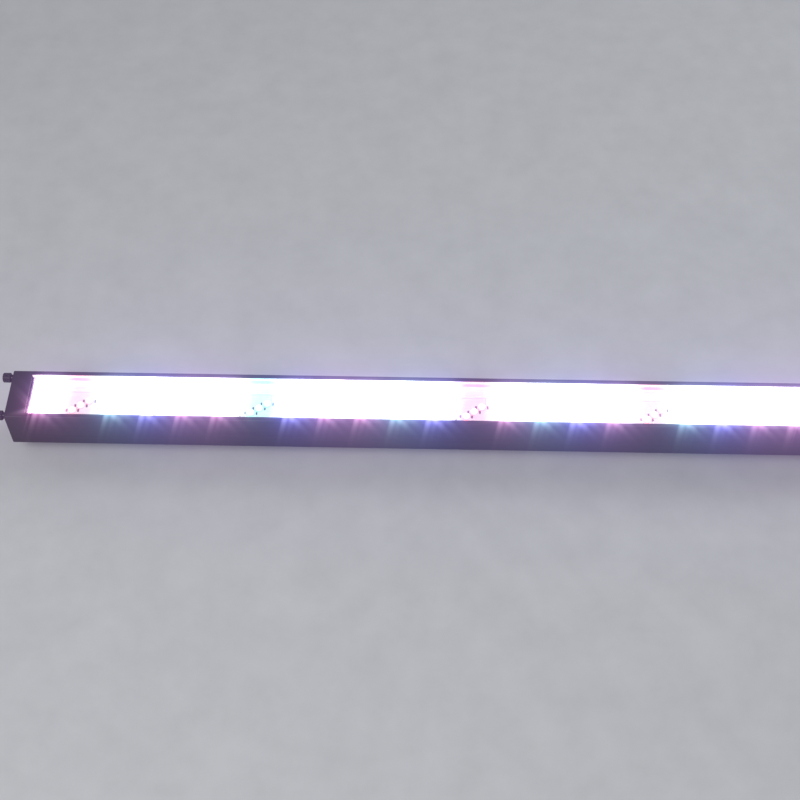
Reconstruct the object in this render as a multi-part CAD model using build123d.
from build123d import *
import os

# LED batten, one metre: a black aluminium extrusion with a clear front cover over
# four LED boards, each carrying six diagonal clusters of three 8 mm LEDs. Moulded
# end caps carry the power and data sockets and two thumbscrews each. The rear
# cover carries the electronics, the menu panel and two tilting feet.
#
# Frame: +X along the batten, +Y across it, +Z out of the light window.
# Origin: middle of the batten on the plane the rubber pads stand on.
# Millimetres throughout.

os.makedirs("parts", exist_ok=True)

# ------------------------------------------------------- overall dimensions
WIDTH = 64.0              # outside width of the extrusion
LENGTH = 950.0            # extrusion length
CAP_L = 22.0              # end cap, with its gasket
TOP_Z = 72.0              # front rim plane
BOTTOM_Z = 22.0           # underside of the body
WALL = 3.0
GASKET_T = 1.0

HALF_W = WIDTH / 2
INNER_Y = HALF_W - WALL   # inner face of the side walls
END_X = LENGTH / 2        # end of the extrusion
CAP_X = END_X + CAP_L     # outer face of the end cap

# Heights through the extrusion, front to rear
WINDOW_W = 53.0           # clear opening between the front lips
LIP_Z = TOP_Z - 5.0       # underside of the front lips
GROOVE_Z = LIP_Z - 3.2    # floor of the slot for the clear cover
GROOVE_Y = 29.7
LEDGE_Z = GROOVE_Z - 2.5  # underside of the ledge below the clear cover
LEDGE_Y = 25.2
PCB_TOP = 50.5            # component face of the LED boards
PCB_Z0 = PCB_TOP - 2.0
PCB_GAP = 0.1             # above and below the boards in their slots
SLOT_Y = 28.9             # bottom of the board slots
RAIL_Z0 = PCB_TOP + PCB_GAP
RAIL_Z1 = RAIL_Z0 + 3.0   # rails over the board edges
RAIL_Y = 20.0
WEB_Z1 = PCB_Z0 - PCB_GAP
WEB_Z0 = WEB_Z1 - 2.0     # web the boards lie on
COVER_T = 2.0             # rear cover plate
COVER_Z1 = BOTTOM_Z + COVER_T
FLANGE_Z1 = COVER_Z1 + 2.4   # rear flanges the cover screws into
FLANGE_Y = 22.0

# Fixings as (y, z) at the ends, or (x, y) on the rear cover
SIDES = (-1, 1)
CAP_SCREWS = [(s * 26.0, 26.6) for s in SIDES]
THUMBSCREWS = [(s * 26.0, 66.2) for s in SIDES]
COVER_SCREWS = [(x, s * 25.0) for x in (-445.0, -275.0, -95.0, 95.0, 275.0, 445.0) for s in SIDES]
PIVOT_X, PIVOT_Z = 330.0, 12.5            # tilting feet
HINGE_SCREWS = [(dx, dy) for dx in (-17.0, 17.0) for dy in (-10.5, 10.5)]   # about the pivot
FEED_X = 200.0            # LED feed passes through the web here


# ------------------------------------------------------------------ helpers
def box(x0, x1, y0, y1, z0, z1):
    centre = Pos((x0 + x1) / 2, (y0 + y1) / 2, (z0 + z1) / 2)
    return centre * Box(abs(x1 - x0), abs(y1 - y0), abs(z1 - z0))


def slab(x0, x1, half_y, z0, z1):
    """Box centred on Y = 0."""
    return box(x0, x1, -half_y, half_y, z0, z1)


def bar_x(x0, x1, y, z, half_y, half_z):
    """Rectangular bar along X, centred on (y, z)."""
    return box(x0, x1, y - half_y, y + half_y, z - half_z, z + half_z)


def cyl_z(x, y, z0, z1, r):
    return Pos(x, y, (z0 + z1) / 2) * Cylinder(r, abs(z1 - z0))


def cyl_x(x0, x1, y, z, r):
    return Pos((x0 + x1) / 2, y, z) * Rot(0, 90, 0) * Cylinder(r, abs(x1 - x0))


def prism_x(points, x0, x1, rounds=()):
    """Section in Y, Z pushed along X. rounds: (y, z, radius) of corners to round."""
    section = make_face(Plane.YZ * Polyline(*points, close=True))
    for y, z, r in rounds:
        corner = [v for v in section.vertices() if abs(v.Y - y) < 1e-6 and abs(v.Z - z) < 1e-6]
        section = fillet(corner, r)
    return Pos(x0, 0, 0) * extrude(section, amount=x1 - x0, dir=(1, 0, 0))


def outline(inset):
    """Body section in Y, Z, moved inward by inset."""
    y, z0, z1 = HALF_W - inset, BOTTOM_Z + inset, TOP_Z - inset
    return [(-y, z1), (y, z1), (y, z0), (-y, z0)]


def body_prism(x0, x1):
    corners = outline(0)
    radii = (1.2, 1.2, 2.0, 2.0)
    return prism_x(corners, x0, x1, [(y, z, r) for (y, z), r in zip(corners, radii)])


def face_edges(shape, axis, index=-1):
    """Edges of the last (or first, index 0) face along an axis."""
    return shape.faces().sort_by(axis)[index].edges()


def flip(shape):
    """Half turn about Z: the other end of the batten."""
    return Rot(0, 0, 180) * shape


def both_ends(shapes):
    return shapes + [flip(s) for s in shapes]


def face_out(x, y, z):
    """Turns a piece built along +Z to point along +X at a place."""
    return Pos(x, y, z) * Rot(0, 90, 0)


def save(name, shapes):
    if not isinstance(shapes, (list, tuple)):
        shapes = [shapes]
    solids = [solid for shape in shapes for solid in shape.solids()]
    piece = solids[0] if len(solids) == 1 else Compound(children=solids)
    export_step(piece, f"parts/{name}.step")


def screw(r, head_r, head_h, length):
    """Pan-head cross-slot screw, head upward, underside of the head at the origin."""
    head = cyl_z(0, 0, 0, head_h, head_r)
    head = fillet(face_edges(head, Axis.Z), head_h * 0.42)
    slot_w, slot_l, slot_z = head_r * 0.22, head_r * 0.62, head_h * 0.45
    head -= (slab(-slot_l, slot_l, slot_w, slot_z, head_h + 1)
             + slab(-slot_w, slot_w, slot_l, slot_z, head_h + 1))
    return head + cyl_z(0, 0, -length, 0, r)


def screw_down(x, y, z, *sizes):
    """Screw with its head pointing to -Z."""
    return Pos(x, y, z) * Rot(180, 0, 0) * screw(*sizes)


# ------------------------------------------------------------------ housing
def housing():
    cut_x = END_X + 1
    body = body_prism(-END_X, END_X)
    # Full-length channels in front of the web: half width, z0, z1
    for half_y, z0, z1 in [
        (WINDOW_W / 2, LIP_Z - 0.5, TOP_Z + 1),
        (GROOVE_Y, GROOVE_Z, LIP_Z),
        (LEDGE_Y, LEDGE_Z - 0.5, GROOVE_Z + 0.5),
        (INNER_Y, RAIL_Z1, LEDGE_Z),
        (RAIL_Y, RAIL_Z0 - 0.5, RAIL_Z1 + 0.5),
        (SLOT_Y, WEB_Z1, RAIL_Z0),
    ]:
        body -= slab(-cut_x, cut_x, half_y, z0, z1)
    # Electronics bay, leaving the screw ports and the rear flanges
    bay = slab(-cut_x, cut_x, INNER_Y, FLANGE_Z1, WEB_Z0)
    for y, z in CAP_SCREWS:
        bay -= cyl_x(-cut_x - 1, cut_x + 1, y, z, 3.2)
    bay += slab(-cut_x, cut_x, FLANGE_Y, COVER_Z1 - 0.5, FLANGE_Z1 + 0.5)
    body -= bay
    body -= slab(-cut_x, cut_x, INNER_Y, BOTTOM_Z - 1, COVER_Z1)
    for end in SIDES:
        for y, z in CAP_SCREWS:
            body -= cyl_x(end * cut_x, end * (END_X - 22), y, z, 1.45)
    for x, y in COVER_SCREWS:
        body -= cyl_z(x, y, COVER_Z1 - 1, COVER_Z1 + 6.0, 1.3)
    return body - slab(FEED_X - 7, FEED_X + 7, 2.5, WEB_Z0 - 1, WEB_Z1 + 1)


save("housing_profile", housing())

# ------------------------------------------------------------- front optics
CLEAR_X = END_X - 0.5                # end of the clear cover
CLEAR_Z1 = GROOVE_Z + 2.55
CLEAR_GAP = 0.05


def end_reflector(s):
    x0, x1 = s * (END_X - 0.2), s * (END_X - 1.4)
    plate = slab(x0, x1, 24.9, RAIL_Z1 + CLEAR_GAP, GROOVE_Z - 0.1)
    # foot between the rails, down to just over the LED board
    return plate + slab(x0, x1, RAIL_Y - 0.3, PCB_TOP + 0.15, RAIL_Z1 + 0.1)


save("front_cover", slab(-CLEAR_X, CLEAR_X, GROOVE_Y - 0.4, GROOVE_Z + CLEAR_GAP, CLEAR_Z1))
save("cover_gaskets",
     [box(-CLEAR_X, CLEAR_X, s * 27.0, s * 29.2, CLEAR_Z1, LIP_Z) for s in SIDES])
save("side_reflectors",
     [box(-END_X + 9.5, END_X - 9.5, s * (INNER_Y - 1.1), s * (INNER_Y - 0.1),
          RAIL_Z1 + CLEAR_GAP, LEDGE_Z - CLEAR_GAP) for s in SIDES])
save("end_reflectors", [end_reflector(s) for s in SIDES])

# --------------------------------------------------------------- LED boards
BOARDS = 4
CLUSTERS = 24
PITCH = 40.0              # cluster to cluster
LED_DX, LED_DY = 8.7, 6.4    # LED to LED inside a cluster
LED_R = 4.0
LED_H = 4.5
LED_RIM_R, LED_RIM_H = 4.6, 1.2
DOME_H = 2.5              # height of the dome over its edge
COLOURS = ["red", "red", "green", "blue"]    # of successive clusters
BOARD_GAP = 0.3

JOINS = [CLUSTERS / BOARDS * PITCH * k for k in (-1, 0, 1)]
BOARD_ENDS = [-END_X + 1.0] + JOINS + [END_X - 1.0]
WAYS = (-2.6, 0.0, 2.6)   # connector contacts in Y


def make_led():
    edge_z = LED_H - DOME_H
    dome_r = (LED_R**2 + DOME_H**2) / (2 * DOME_H)
    profile = Polyline((0, 0), (LED_RIM_R, 0), (LED_RIM_R, LED_RIM_H), (LED_R, LED_RIM_H),
                       (LED_R, edge_z))
    profile += RadiusArc((LED_R, edge_z), (0, LED_H), -dome_r) + Line((0, LED_H), (0, 0))
    led = revolve(make_face(Plane.XZ * profile), axis=Axis.Z)
    # flat on the -X side of the rim
    return led - slab(-6, -LED_R - 0.05, 6, -1, LED_RIM_H + 0.05)


def connector(join, y, s):
    """Shroud on the s side of a board join, open toward the join."""
    shroud = box(join + s * 0.8, join + s * 6.0, y - 4.2, y + 4.2, PCB_TOP, PCB_TOP + 4.2)
    for way in WAYS:
        shroud -= box(join, join + s * 4.2, y + way - 0.85, y + way + 0.85,
                      PCB_TOP + 1.1, PCB_TOP + 3.0)
    return shroud


def jumper(join, y):
    return box(join - 4.0, join + 4.0, y - 0.6, y + 0.6, PCB_TOP + 1.6, PCB_TOP + 2.5)


for b in range(BOARDS):
    save(f"led_board_{b + 1}",
         slab(BOARD_ENDS[b] + BOARD_GAP, BOARD_ENDS[b + 1] - BOARD_GAP, SLOT_Y - BOARD_GAP,
              PCB_Z0, PCB_TOP))

led = make_led()
leds = {"red": [], "green": [], "blue": []}
resistors = []
for k in range(CLUSTERS):
    for n in (-1, 0, 1):
        x = (k - (CLUSTERS - 1) / 2) * PITCH + n * LED_DX
        y = n * LED_DY
        leds[COLOURS[k % 4]].append(Pos(x, y, PCB_TOP) * led)
        for s in SIDES:
            # one each side, none beyond the board ends
            if abs(x + s * 6.5) < END_X - 2.5:
                resistors.append(box(x + s * 5.6, x + s * 7.4, y - 1.6, y + 1.6,
                                     PCB_TOP, PCB_TOP + 0.7))
for colour, shapes in leds.items():
    save(f"{colour}_leds", shapes)
save("board_resistors", resistors)

LINKS = [(join, y) for join in JOINS for y in (-15.0, 15.0)]
save("board_connectors", [connector(join, y, s) for join, y in LINKS for s in SIDES])
save("board_jumpers", [jumper(join, y + way) for join, y in LINKS for way in WAYS])

# ----------------------------------------------------------------- end caps
# Written for the +X end; the -X end is the half-turn copy about Z.
# At the +X end the power socket is on the +Y side and the data socket on -Y.
CAP_FACE_T = 3.5
CAP_X0 = END_X + GASKET_T
CAP_HOLE_R = 1.8                    # end cap screws, through cap and gasket
CAP_HEAD_DEPTH = 2.0
INSERT_R = 2.9
POWER_Y, DATA_Y, SOCKET_Z = 14.0, -14.0, 45.2
SOCKET_SCREWS = [(DATA_Y + s * 9.5, SOCKET_Z + s * 12.0) for s in SIDES]
THUMB_R, THUMB_OUT = 5.5, 11.5      # head radius and reach beyond the cap


def end_cap():
    cap = body_prism(CAP_X0, CAP_X)
    cap = fillet(face_edges(cap, Axis.X), 1.6)
    # hollow it, leaving bosses round the screws
    hollow = prism_x(outline(WALL), END_X - 1, CAP_X - CAP_FACE_T)
    for y, z in CAP_SCREWS:
        hollow -= cyl_x(END_X - 2, CAP_X, y, z, 4.0)
    for y, z in THUMBSCREWS:
        hollow -= cyl_x(END_X + 6.0, CAP_X, y, z, 4.6)
    cap -= hollow
    # tabs reaching into the extrusion, and their roots
    for s in SIDES:
        cap += box(END_X - 7.5, CAP_X0 + 4, s * 26.0, s * 28.8, 55.0, 60.0)
        cap += box(CAP_X0, CAP_X0 + 4, s * 26.0, s * 30.0, 55.0, 60.0)
    for y, z in CAP_SCREWS:
        cap -= cyl_x(END_X, CAP_X + 1, y, z, CAP_HOLE_R)
        cap -= cyl_x(CAP_X - CAP_HEAD_DEPTH, CAP_X + 1, y, z, 3.0)
    for y, z in THUMBSCREWS:
        cap -= cyl_x(CAP_X - 13.0, CAP_X - 2.0, y, z, INSERT_R)
        cap -= cyl_x(CAP_X - 3.0, CAP_X + 1, y, z, 2.2)
    # socket openings
    x0, x1 = CAP_X - 5, CAP_X + 1
    cap -= bar_x(x0, x1, POWER_Y, SOCKET_Z, 10.0, 13.5)
    cap -= cyl_x(x0, x1, DATA_Y, SOCKET_Z, 11.5)
    for y, z in SOCKET_SCREWS:
        cap -= cyl_x(x0, x1, y, z, 1.3)
    return cap - box(x0, x1, DATA_Y - 3.3, DATA_Y + 3.3, SOCKET_Z + 8.0, SOCKET_Z + 13.8)


def end_gasket():
    gasket = body_prism(END_X, CAP_X0)
    gasket -= prism_x(outline(2.4), END_X - 1, END_X + 3)
    for y, z in CAP_SCREWS:
        gasket += cyl_x(END_X, CAP_X0, y, z, 4.0)
    for y, z in CAP_SCREWS:
        gasket -= cyl_x(END_X - 1, END_X + 3, y, z, CAP_HOLE_R)
    return gasket


def thumb_insert(y, z):
    sleeve = cyl_x(CAP_X - 12.9, CAP_X - 3.1, y, z, INSERT_R)
    return sleeve - cyl_x(CAP_X - 14, CAP_X, y, z, 2.03)


def thumbscrew():
    """Grooved head upward on a collar, with the cap face at z = 0."""
    collar_h = 2.5
    thumb = cyl_z(0, 0, collar_h, THUMB_OUT, THUMB_R)
    for index in (-1, 0):
        thumb = chamfer(face_edges(thumb, Axis.Z, index), 0.8)
    for n in range(24):
        thumb -= Rot(0, 0, 15 * n) * cyl_z(THUMB_R + 0.25, 0, 2, THUMB_OUT + 1, 0.6)
    thumb += cyl_z(0, 0, 0, collar_h, 3.6)
    thumb += cyl_z(0, 0, -11.0, 0, 2.0)
    return thumb - slab(-6, 6, 0.6, THUMB_OUT - 1.4, THUMB_OUT + 1)


cap = end_cap()
save("end_cap_right", cap)
save("end_cap_left", flip(cap))
save("end_gaskets", both_ends([end_gasket()]))
save("end_cap_screws", both_ends(
    [face_out(CAP_X - CAP_HEAD_DEPTH, y, z) * screw(1.4, 2.7, 1.9, 36.0) for y, z in CAP_SCREWS]))
save("thumbscrew_inserts", both_ends([thumb_insert(y, z) for y, z in THUMBSCREWS]))
thumb = thumbscrew()
save("end_thumbscrews", both_ends([face_out(CAP_X, y, z) * thumb for y, z in THUMBSCREWS]))

# ------------------------------------------------------------------ sockets
# Also written for the +X end; the inlets are flipped to the -X end.
SOCKET_X = CAP_X + 2.5    # outer face of the sockets
BACK_X = CAP_X - 16.5     # inner end of the sockets
# Power contacts: offset in Y and Z from the socket centre, pin tip past the cap face
POWER_CONTACTS = [(-1.0, -7.0, -0.5), (-1.0, 7.0, -0.5), (3.5, 0.0, 0.5)]
LATCH_Z0, LATCH_Z1 = SOCKET_Z + 9.9, SOCKET_Z + 13.4
LATCH_TRAVEL = 1.5


def socket_flange(y):
    flange = bar_x(CAP_X, SOCKET_X, y, SOCKET_Z, 12.2, 15.0)
    flange = fillet(flange.edges().filter_by(Axis.X), 2.5)
    return fillet(face_edges(flange, Axis.X), 0.6)


def power_shell():
    return socket_flange(POWER_Y) + bar_x(BACK_X, CAP_X, POWER_Y, SOCKET_Z, 9.8, 13.3)


def power_recess(x0, half_y, half_z):
    """Recess to the front of the socket, with chamfered corners on the +Y side."""
    recess = bar_x(x0, SOCKET_X + 1, POWER_Y, SOCKET_Z, half_y, half_z)
    edges = [e for e in recess.edges().filter_by(Axis.X) if e.center().Y > POWER_Y]
    return chamfer(edges, 3.4)


def power_outlet():
    outlet = power_shell() - power_recess(CAP_X + 1.0, 8.2, 11.8)
    for dy, dz, _ in POWER_CONTACTS:
        outlet -= bar_x(CAP_X - 14.0, SOCKET_X + 1, POWER_Y + dy, SOCKET_Z + dz, 2.3, 1.3)
    return outlet


def data_shell():
    shell = socket_flange(DATA_Y)
    shell += cyl_x(BACK_X, CAP_X, DATA_Y, SOCKET_Z, 11.2)
    for y, z in SOCKET_SCREWS:
        shell -= cyl_x(CAP_X - 1, SOCKET_X + 1, y, z, 1.5)
    return shell


def data_contact(n, x0, x1, r):
    """One of three round contacts on a 5 mm radius."""
    return Pos(0, DATA_Y, SOCKET_Z) * Rot(30 + 120 * n, 0, 0) * cyl_x(x0, x1, 5.0, 0, r)


def data_in_socket():
    socket = data_shell() - cyl_x(CAP_X - 14.5, SOCKET_X + 1, DATA_Y, SOCKET_Z, 9.4)
    return socket - box(CAP_X - 2.0, SOCKET_X + 1, DATA_Y - 2.6, DATA_Y + 2.6,
                        SOCKET_Z + 8.5, SOCKET_Z + 11.0)


def data_in_pin(n):
    pin = data_contact(n, CAP_X - 14.5, CAP_X - 1.0, 1.2)
    return fillet(face_edges(pin, Axis.X), 0.7)


def data_out_socket():
    ring = (cyl_x(CAP_X + 1.2, SOCKET_X + 1, DATA_Y, SOCKET_Z, 8.9)
            - cyl_x(CAP_X - 1, SOCKET_X + 2, DATA_Y, SOCKET_Z, 7.6))
    socket = data_shell() - ring
    # latch slot, with room for its travel
    socket -= box(CAP_X - 4.0, SOCKET_X + 1, DATA_Y - 3.1, DATA_Y + 3.1,
                  LATCH_Z0 - LATCH_TRAVEL - 0.1, LATCH_Z1 + 0.1)
    for n in range(3):
        socket -= data_contact(n, CAP_X - 12.5, SOCKET_X + 1, 1.5)
    return socket


def data_out_latch():
    latch = box(CAP_X - 3.9, SOCKET_X + 1.2, DATA_Y - 3.0, DATA_Y + 3.0, LATCH_Z0, LATCH_Z1)
    latch = fillet(face_edges(latch, Axis.X), 0.5)
    for dz in (0.9, 1.8, 2.7):
        latch -= bar_x(SOCKET_X + 0.9, SOCKET_X + 2, DATA_Y, LATCH_Z0 + dz, 2.0, 0.15)
    return latch


save("power_outlet", power_outlet())
save("power_inlet", flip(power_shell() - power_recess(CAP_X - 14.0, 7.9, 11.6)))
save("power_inlet_pins",
     [flip(bar_x(CAP_X - 14.0, CAP_X + tip, POWER_Y + dy, SOCKET_Z + dz, 2.0, 1.0))
      for dy, dz, tip in POWER_CONTACTS])
save("data_in_socket", flip(data_in_socket()))
save("data_in_pins", [flip(data_in_pin(n)) for n in range(3)])
save("data_out_socket", data_out_socket())
save("data_out_latch", data_out_latch())
save("socket_screws", both_ends(
    [face_out(SOCKET_X, y, z) * screw(1.25, 2.3, 1.3, 7.5) for y, z in SOCKET_SCREWS]))

# ------------------------------------------------- rear cover and menu panel
DISPLAY_X0, DISPLAY_X1, DISPLAY_Y = -20.0, 12.0, 7.0    # opening in the cover
BUTTONS = {"menu": 24.0, "down": 36.0, "up": 48.0, "enter": 60.0}    # x of each
BUTTON_R = 3.6
BUTTON_SHOULDER_Z = COVER_Z1 + 1.2
BUTTON_TOP_Z = COVER_Z1 + 3.2
BUTTON_TRAVEL = 0.6
CONTROL_Z0 = 32.2         # rear face of the control board
VENTS = [(s * 420.0 + 8.0 * i, y) for s in SIDES for i in range(-3, 4) for y in (-9.0, 9.0)]


def display_slab(grow_x, grow_y, z0, z1):
    """Slab over the display opening, larger or smaller by grow on every side."""
    return slab(DISPLAY_X0 - grow_x, DISPLAY_X1 + grow_x, DISPLAY_Y + grow_y, z0, z1)


def rear_cover():
    z0, z1 = BOTTOM_Z - 1, COVER_Z1 + 1
    cover = slab(-END_X + 0.2, END_X - 0.2, INNER_Y - 0.2, BOTTOM_Z, COVER_Z1)
    for x, y in COVER_SCREWS:
        cover -= cyl_z(x, y, z0, z1, 1.6)
    cover -= display_slab(0, 0, z0, z1)
    for x in BUTTONS.values():
        cover -= cyl_z(x, 0, z0, z1, BUTTON_R + 0.1)
    for s in SIDES:
        for dx, dy in HINGE_SCREWS:
            cover -= cyl_z(s * PIVOT_X + dx, dy, z0, z1, 2.05)
    for x, y in VENTS:
        slot = Rot(0, 0, 90) * SlotOverall(11, 2.6)
        cover -= Pos(x, y, z0) * extrude(slot, amount=COVER_T + 2)
    return cover


def button(x):
    cap = cyl_z(x, 0, BOTTOM_Z - 1.4, BUTTON_SHOULDER_Z, BUTTON_R)
    cap = fillet(face_edges(cap, Axis.Z, 0), 0.8)
    cap += cyl_z(x, 0, COVER_Z1 + 0.05, BUTTON_SHOULDER_Z, 4.6)
    return cap + cyl_z(x, 0, BUTTON_SHOULDER_Z, BUTTON_TOP_Z, 2.0)


def menu_switch(x):
    body_z = CONTROL_Z0 - 3.5
    body = box(x - 3, x + 3, -3, 3, body_z, CONTROL_Z0)
    return body + cyl_z(x, 0, BUTTON_TOP_Z + BUTTON_TRAVEL + 0.1, body_z, 1.75)


save("rear_cover", rear_cover())
save("rear_cover_screws",
     [screw_down(x, y, BOTTOM_Z, 1.25, 2.6, 1.7, 7.0) for x, y in COVER_SCREWS])
save("display_window", display_slab(-0.1, -0.1, BOTTOM_Z + 0.3, COVER_Z1)
     + display_slab(1.5, 2.0, COVER_Z1, COVER_Z1 + 1.0))
save("display_module", display_slab(-1.0, 0, COVER_Z1 + 1.6, CONTROL_Z0))
for label, x in BUTTONS.items():
    save(f"button_{label}", button(x))
save("menu_switches", [menu_switch(x) for x in BUTTONS.values()])

# ------------------------------------- control board, power supply, driver
BOARD_T = 1.6
POWER_Z0 = COVER_Z1 + 3.0           # power supply and driver boards
POWER_Z1 = POWER_Z0 + BOARD_T
PART_TOP_Z = POWER_Z1 + 9.8         # top of the transformer and heatsink
FUSE_Y, FUSE_Z = -14.0, POWER_Z1 + 5.0


def board_holes(x0, x1, half_y):
    return [(x, y) for x in (x0, x1) for y in (-half_y, half_y)]


CONTROL_HOLES = board_holes(-26.0, 72.0, 13.0)
PSU_HOLES = board_holes(-270.0, -60.0, 16.0)
DRIVER_HOLES = board_holes(155.0, 285.0, 16.0)
POWER_HOLES = PSU_HOLES + DRIVER_HOLES


def circuit_board(x0, x1, half_y, z0, holes):
    board = slab(x0, x1, half_y, z0, z0 + BOARD_T)
    for x, y in holes:
        board -= cyl_z(x, y, z0 - 1, z0 + BOARD_T + 1, 1.6)
    return board


def transformer():
    core = slab(-178, -146, 13, POWER_Z1, PART_TOP_Z)
    core = fillet(core.edges().filter_by(Axis.Z), 2.0)
    return core + slab(-182, -142, 7, POWER_Z1 + 1.0, POWER_Z1 + 9.0)


def heatsink():
    sink = box(-108, -72, 12, 14, POWER_Z1, PART_TOP_Z)
    for k in range(5):
        x = -108 + 8.5 * k
        sink += box(x, x + 2, 4, 12.2, POWER_Z1, PART_TOP_Z)
    return sink


def fuse_clip(x):
    clip = box(x - 2, x + 2, FUSE_Y - 3.4, FUSE_Y + 3.4, POWER_Z1, FUSE_Z + 1.5)
    return clip - box(x - 3, x + 3, FUSE_Y - 2.6, FUSE_Y + 2.6, FUSE_Z - 2.55, FUSE_Z + 3)


def standoff(x, y, top_z, bore_z):
    post = Pos(x, y, COVER_Z1) * extrude(RegularPolygon(3.0, 6), amount=top_z - COVER_Z1)
    return post - cyl_z(x, y, bore_z, top_z + 1, 1.42)


save("control_board", circuit_board(-30.0, 76.0, 17.0, CONTROL_Z0, CONTROL_HOLES))
save("psu_board", circuit_board(-275, -55, 20, POWER_Z0, PSU_HOLES))
save("driver_board", circuit_board(150, 290, 20, POWER_Z0, DRIVER_HOLES))
save("psu_transformer", transformer())
save("psu_capacitors",
     [cyl_x(-238, -206, y, POWER_Z1 + 4.9, 4.8) for y in (-7.0, 7.0)]
     + [cyl_z(x, y, POWER_Z1, POWER_Z1 + 9.5, 3.5) for x in (-128, -118) for y in (-9, 9)])
save("psu_heatsink", heatsink())
save("mains_fuse", cyl_x(-262, -242, FUSE_Y, FUSE_Z, 2.5))
save("fuse_clips", [fuse_clip(x) for x in (-259.5, -244.5)])
save("board_standoffs",
     [standoff(x, y, POWER_Z0, COVER_Z1 + 0.8) for x, y in POWER_HOLES]
     + [standoff(x, y, CONTROL_Z0, CONTROL_Z0 - 3) for x, y in CONTROL_HOLES])
save("board_screws",
     [Pos(x, y, z) * screw(1.4, 2.6, 1.6, 3.6)
      for holes, z in ((POWER_HOLES, POWER_Z1), (CONTROL_HOLES, CONTROL_Z0 + BOARD_T))
      for x, y in holes])

# ------------------------------------------------------------------- wiring
POWER_WIRE_Y, POWER_WIRE_Z, POWER_WIRE_R = 25.0, 34.8, 2.0
DATA_WIRE_Y, DATA_WIRE_Z, DATA_WIRE_R = 25.6, 31.3, 1.3


def wire(points, r, bend=5.0):
    path = FilletPolyline(*points, radius=bend)
    return sweep(Plane(origin=path @ 0, z_dir=path % 0) * Circle(r), path=path)


def socket_wire(end, side, bend_in, x, y, z, r):
    """From the socket at one end (end, side: signs of X and Y) along the wall to x."""
    return wire([(end * (END_X + 4.0), side * 18, 36.0),
                 (end * (END_X - bend_in), side * y, z), (x, side * y, z)], r)


power_run = (POWER_WIRE_Y, POWER_WIRE_Z, POWER_WIRE_R)
data_run = (DATA_WIRE_Y, DATA_WIRE_Z, DATA_WIRE_R)
cables = [
    socket_wire(-1, -1, 5.5, -262, *power_run),
    socket_wire(1, 1, 5.5, -62, *power_run),
    socket_wire(-1, 1, 7.5, -26, *data_run),
    socket_wire(1, -1, 7.5, 70, *data_run),
    # power supply to driver
    wire([(-64, -POWER_WIRE_Y, POWER_WIRE_Z), (160, -POWER_WIRE_Y, POWER_WIRE_Z),
          (170, -20.6, POWER_WIRE_Z - 3.0)], POWER_WIRE_R, bend=3.0),
]
# LED feed, driver board to LED board
cables += [cyl_z(FEED_X + dx, 0, POWER_Z1, PCB_Z0, 1.0) for dx in (-4.5, -1.5, 1.5, 4.5)]
save("wiring_harness", cables)

# ------------------------------------------------------------- tilting feet
# Written for the +X side about x = 0, then moved to PIVOT_X by at_pivot.
# The knob is on the outer (+X) side.
BOLT_R = 3.0              # M6 pivot bolt
BORE_R = BOLT_R + 0.05    # with running clearance
TONGUE_X = 10.0           # half width of the hinge tongue
HINGE_Z = BOTTOM_Z - 2.0  # underside of the hinge base
EAR_X0 = TONGUE_X + 1.0
EAR_X1 = EAR_X0 + 2.5
PAD_H = 2.0
FOOT_Z1 = PAD_H + 2.5     # top of the foot plate
CLAMP_X = -31.0
CLAMP_R = 5.25            # clearance hole for an M10 clamp bolt
KNOB_X = EAR_X1 + 0.1
KNOB_R, KNOB_L = 6.8, 14.0


def at_pivot(shape):
    return Pos(PIVOT_X, 0, 0) * shape


def pivot_cyl(x0, x1, r):
    return cyl_x(x0, x1, 0, PIVOT_Z, r)


def pivot_bore():
    return pivot_cyl(-20, 20, BORE_R)


def hinge_block():
    block = slab(-22, 22, 15, HINGE_Z, BOTTOM_Z)
    block = fillet(block.edges().filter_by(Axis.Z), 4.0)
    block += (slab(-TONGUE_X, TONGUE_X, 5.5, PIVOT_Z, HINGE_Z + 0.5)
              + pivot_cyl(-TONGUE_X, TONGUE_X, 5.5))
    web = slab(-2, 2, 10, HINGE_Z - 3.0, HINGE_Z + 0.5)
    lower = [e for e in web.edges().filter_by(Axis.X) if e.center().Z < HINGE_Z - 2]
    block += chamfer(lower, 2.9)
    block -= pivot_bore()
    for x, y in HINGE_SCREWS:
        block -= cyl_z(x, y, HINGE_Z - 1, BOTTOM_Z + 1, 2.05)
    return block


def tilt_washer(s):
    return pivot_cyl(s * TONGUE_X, s * (TONGUE_X + 0.95), 5.4) - pivot_bore()


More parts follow.
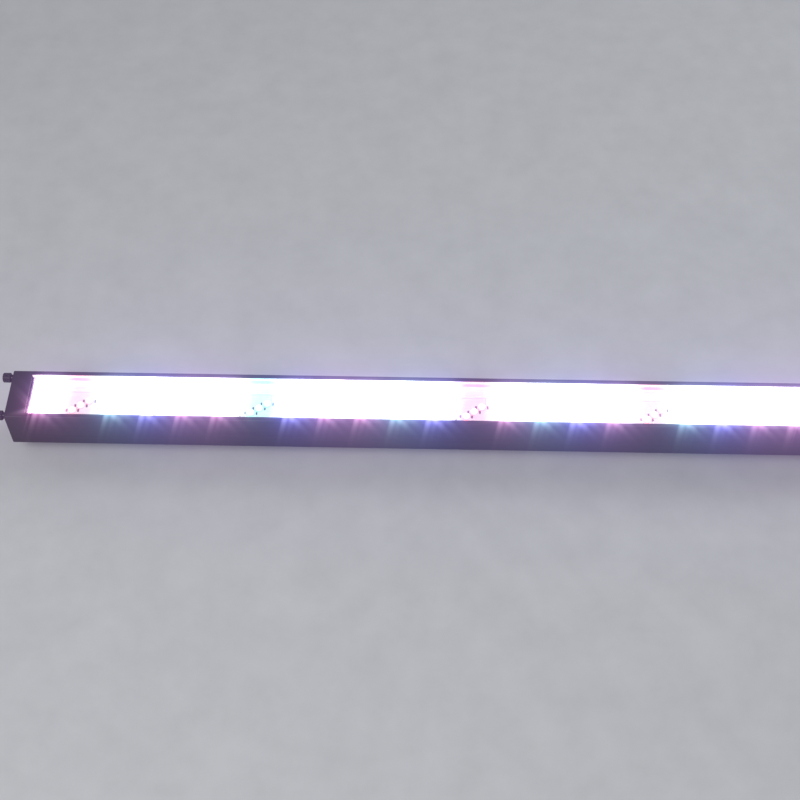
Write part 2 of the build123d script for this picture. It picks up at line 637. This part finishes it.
def foot():
    plate = slab(-44.0, 29.0, 17.0, PAD_H, FOOT_Z1)
    plate = fillet(plate.edges().filter_by(Axis.Z), 6.0)
    root_z, shoulder_z, neck_z = PAD_H + 0.5, FOOT_Z1 + 1.0, PIVOT_Z + 1.8
    ear_outline = [(-12, root_z), (12, root_z), (12, shoulder_z),
                   (6.2, neck_z), (-6.2, neck_z), (-12, shoulder_z)]
    for x0, x1 in ((-EAR_X1, -EAR_X0), (EAR_X0, EAR_X1)):
        plate += prism_x(ear_outline, x0, x1) + pivot_cyl(x0, x1, 6.6)
    plate -= pivot_bore()
    plate -= cyl_z(CLAMP_X, 0, 0, 10, CLAMP_R)
    for y in (-12.5, 12.5):
        plate -= cyl_z(0, y, 0, 10, 2.25)
    return plate


def pivot_bolt():
    head_h = 4.0
    bolt = face_out(-EAR_X1 - head_h, 0, PIVOT_Z) * extrude(RegularPolygon(5.5, 6), amount=head_h)
    bolt += pivot_cyl(-EAR_X1, KNOB_X + 11.5, BOLT_R)
    return chamfer(face_edges(bolt, Axis.X), 0.7)


def knob():
    grip = pivot_cyl(KNOB_X, KNOB_X + KNOB_L, KNOB_R)
    grip = fillet(face_edges(grip, Axis.X), 2.6)
    grip = fillet(face_edges(grip, Axis.X, 0), 1.0)
    flute = face_out(0, 0, KNOB_R + 1.9) * Cylinder(3.0, KNOB_L + 4)
    for n in range(6):
        grip -= Pos(KNOB_X + KNOB_L / 2, 0, PIVOT_Z) * Rot(60 * n, 0, 0) * flute
    return grip - pivot_cyl(KNOB_X - 1, KNOB_X + 12.0, BORE_R)


def foot_pad(x, y):
    return chamfer(face_edges(cyl_z(x, y, 0, PAD_H, 4.8), Axis.Z, 0), 0.5)


save("hinge_blocks", both_ends([at_pivot(hinge_block())]))
save("hinge_screws",
     [screw_down(s * PIVOT_X + dx, dy, HINGE_Z, 1.95, 2.8, 1.1, 6.0)
      for s in SIDES for dx, dy in HINGE_SCREWS])
save("tilt_washers", both_ends([at_pivot(tilt_washer(s)) for s in SIDES]))
pads = [foot_pad(x, y) for x in (-37.0, 22.0) for y in (-11.5, 11.5)]
for name, shapes in (("foot", [foot()]), ("pivot_bolt", [pivot_bolt()]),
                     ("knob", [knob()]), ("foot_pads", pads)):
    right = [at_pivot(shape) for shape in shapes]
    save(f"{name}_right", right)
    save(f"{name}_left", [flip(shape) for shape in right])
